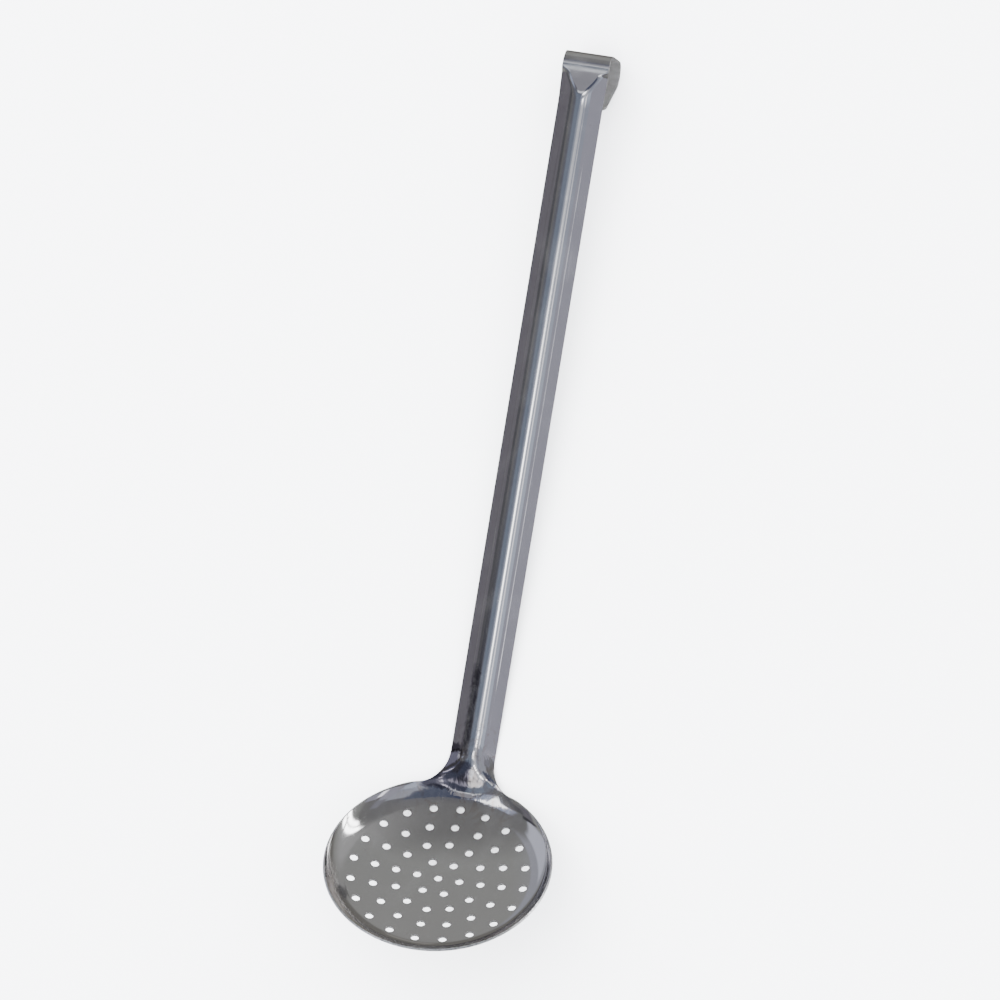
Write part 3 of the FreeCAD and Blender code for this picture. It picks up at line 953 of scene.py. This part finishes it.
OVERHEAD = (
    ("dusk_panel", (-16, -7), (11, 14), 5, (0.24, 0.28, 0.37)),
    ("skylight", (18, -8), (23, 13), 4, (0.66, 0.72, 0.88)),
    ("sky_edge", (18, 2), (23, 5.5), 3, (0.42, 0.45, 0.55)),
    ("roof_low", (7, -9.5), (6, 9), 2, (1.0, 1.03, 1.12)),
    ("roof_top", (8, 2), (5, 4), 2, (0.85, 0.87, 0.95)),
    ("roof_gap", (5.5, -6.2), (2.8, 2.6), 1.5, (6.5, 6.5, 6.6)),
    ("hip_spark", (0, 6), (4, 2.5), 1.5, (4.5, 4.5, 4.6)),
    ("neck_light", (-9.5, -20), (3, 6.5), 3, (1.9, 1.9, 2.0)),
    ("neck_light_2", (-3.5, -15.5), (3, 5), 2.5, (1.9, 1.9, 2.0), 0.33),
    ("roof_gap_2", (20.5, -11), (2.5, 9), 2, (1.8, 1.8, 1.9)),
    ("right_upper", (34, 15), (10, 12), 2, (0.46, 0.48, 0.56)),
    ("right_wall", (50, -6.5), (8.5, 14.5), 1, (0.46, 0.46, 0.55)),
    ("right_wall_top", (48, 13.5), (6, 8), 1, (0.46, 0.46, 0.55)),
    ("neck_side", (51, 31), (5, 10), 3, (0.30, 0.30, 0.35)),
    ("right_side", (66, -1), (8, 15), 1, (0.46, 0.46, 0.55)),
    ("right_line", (57, -5), (2.5, 12), 1, (2.2, 2.2, 2.4)),
    ("shoulder_glow", (-34, 21), (15, 10), 2.5, (0.50, 0.55, 0.74), 0.5),
    ("shoulder_window", (-33, 21), (3.5, 8.5), 1.5, (5.0, 5.0, 5.1), 1.0),
    ("navy_patch", (6, 22), (18, 12), 2, (0.085, 0.10, 0.165)),
    ("hip_panel", (-11, 18.5), (6, 6.5), 1.0, (0.40, 0.40, 0.45)),
    ("hook_light", (-11, 10), (7, 2), 1.5, (1.25, 1.3, 1.4)),
    ("dark_card", (-71, 14), (11, 6), 2, (0.05, 0.05, 0.06)),
    ("dark_strip", (-56, -4), (7, 10), 3, (0.115, 0.115, 0.13)),
    ("dark_streak", (-40, -11.5), (9, 4), 2, (0.08, 0.08, 0.10)),
)
ROOM_HEIGHTS = (
    # height in degrees, colour
    (-90, (0.22, 0.21, 0.195)),
    (-20, (0.22, 0.215, 0.20)),
    (-12, (0.385, 0.385, 0.375)),
    (12, (0.375, 0.38, 0.37)),
    (21, (0.235, 0.235, 0.235)),
    (45, (0.20, 0.20, 0.21)),
    (58, (0.165, 0.17, 0.205)),
    (90, (0.165, 0.17, 0.21)),
)


def room_colour(tree):
    """The colour that the room shows in each direction"""
    way = put(tree, "ShaderNodeTexCoord").outputs["Generated"]
    part = put(tree, "ShaderNodeSeparateXYZ", {0: way}).outputs
    bearing = calculate(tree, "ARCTAN2", part["X"], part["Y"])
    height = calculate(tree, "ARCSINE", part["Z"])
    to_right = calculate(tree, "ARCTAN2", part["X"], part["Z"])
    to_hook = calculate(tree, "ARCTAN2", part["Y"], part["Z"])
    up = math.radians(90)
    ramp = put(tree, "ShaderNodeValToRGB", {0: ramped(tree, height, -up, up, "LINEAR")})
    stops = ramp.color_ramp.elements
    for _ in ROOM_HEIGHTS[len(stops):]:
        stops.new(0.5)
    for stop, (degrees, shade) in zip(stops, ROOM_HEIGHTS):
        stop.position = (degrees + 90) / 180
        stop.color = (*shade, 1.0)
    seen = ramp.outputs[0]
    for at, rows in (((bearing, height), ROUND_ROOM), ((to_right, to_hook), OVERHEAD)):
        for name, centre, half, soft, shade, *slant in rows:
            centre, half = (tuple(map(math.radians, pair)) for pair in (centre, half))
            mask = window_mask(tree, at, centre, half, math.radians(soft), *slant, label=name)
            seen = mixed(tree, mask, seen, shade)
    return seen


def surroundings(stage):
    """A pale studio, except that the steel mirrors a room"""
    world = bpy.data.worlds.new("studio")
    world.use_nodes = True
    tree = world.node_tree
    tree.nodes.clear()
    pale = put(tree, "ShaderNodeBackground", {"Color": stage.sky, "Strength": stage.sky_strength})
    room = put(tree, "ShaderNodeBackground", {"Color": room_colour(tree), "Strength": 1.0})
    mirrored = put(tree, "ShaderNodeLightPath").outputs["Is Glossy Ray"]
    either = put(tree, "ShaderNodeMixShader", {0: mirrored, 1: pale.outputs[0], 2: room.outputs[0]})
    put(tree, "ShaderNodeOutputWorld", {"Surface": either.outputs[0]})
    bpy.context.scene.world = world


# The soft light and the camera: places and clipping in metres, the sensor in millimetres
SOFT_TOP_PLACE = (-0.5, 0.2, 1.8)
SOFT_TOP_SIZE = (1.6, 1.6)
FLOOR_ROUGHNESS = 0.9
SENSOR_WIDTH = 36.0
CLIP_START, CLIP_END = 0.01, 50.0


def soft_top(stage):
    """A soft light overhead, aimed at the middle of the floor, that the steel doesn't mirror"""
    data = bpy.data.lights.new("soft_top", "AREA")
    data.shape = "RECTANGLE"
    data.size, data.size_y = SOFT_TOP_SIZE
    data.energy = stage.soft_light
    light = add_object("soft_top", data)
    light.location = SOFT_TOP_PLACE
    light.rotation_euler = Vector(SOFT_TOP_PLACE).to_track_quat("Z", "Y").to_euler()
    light.visible_glossy = False


def pale_floor(stage):
    """A square floor that the steel doesn't mirror"""
    half = stage.floor_size / 2
    mesh = bpy.data.meshes.new("floor")
    corners = [(-half, -half, 0.0), (half, -half, 0.0), (half, half, 0.0), (-half, half, 0.0)]
    mesh.from_pydata(corners, [], [(0, 1, 2, 3)])
    material, _, shader = principled("pale_floor")
    shader.inputs["Base Color"].default_value = (*stage.floor, 1.0)
    shader.inputs["Roughness"].default_value = FLOOR_ROUGHNESS
    mesh.materials.append(material)
    floor = add_object("floor", mesh)
    floor.visible_glossy = False


def camera(stage):
    """The camera, turned about its line of sight as the picture is"""
    data = bpy.data.cameras.new("camera")
    data.sensor_width = SENSOR_WIDTH
    data.lens = stage.lens
    data.clip_start, data.clip_end = CLIP_START, CLIP_END
    eye = add_object("camera", data)
    flat = math.cos(stage.elevation)
    back = Vector((math.sin(stage.azimuth) * flat, -math.cos(stage.azimuth) * flat, math.sin(stage.elevation)))
    eye.location = Vector(stage.aim) + back * stage.distance
    level = Vector((0.0, 1.0, 0.0)).cross(back).normalized()
    axes = Matrix((level, back.cross(level), back)).transposed()
    eye.rotation_euler = (axes.to_quaternion() @ Quaternion((0.0, 0.0, 1.0), stage.roll)).to_euler()
    bpy.context.scene.camera = eye


class SKIMMER_OT_stage(bpy.types.Operator):
    """Set the skimmer on a pale floor under soft light, and place the camera"""

    bl_idname = "skimmer.stage"
    bl_label = "Studio Stage"

    def execute(self, context):
        stage = context.scene.skimmer_stage
        pale_floor(stage)
        camera(stage)
        soft_top(stage)
        surroundings(stage)
        return {"FINISHED"}


class SKIMMER_PT_panel(bpy.types.Panel):
    """Lists the steps that make the skimmer"""

    bl_idname = "SKIMMER_PT_panel"
    bl_label = "Skimmer"
    bl_space_type = "VIEW_3D"
    bl_region_type = "UI"
    bl_category = "Skimmer"

    def draw(self, context):
        for operator in OPERATORS:
            self.layout.operator(operator.bl_idname)


GROUPS = {
    "skimmer_dish": SkimmerDish,
    "skimmer_handle": SkimmerHandle,
    "skimmer_hook": SkimmerHook,
    "skimmer_finish": SkimmerFinish,
    "skimmer_stage": SkimmerStage,
}
OPERATORS = (SKIMMER_OT_sheet, SKIMMER_OT_stage)
CLASSES = (*GROUPS.values(), *OPERATORS, SKIMMER_PT_panel)


def register():
    for made in CLASSES:
        bpy.utils.register_class(made)
    for name, group in GROUPS.items():
        setattr(bpy.types.Scene, name, PointerProperty(type=group))


def unregister():
    for name in GROUPS:
        delattr(bpy.types.Scene, name)
    for made in reversed(CLASSES):
        bpy.utils.unregister_class(made)


def main():
    register()
    bpy.ops.skimmer.sheet()
    bpy.ops.skimmer.stage()


if __name__ == "__main__":
    main()
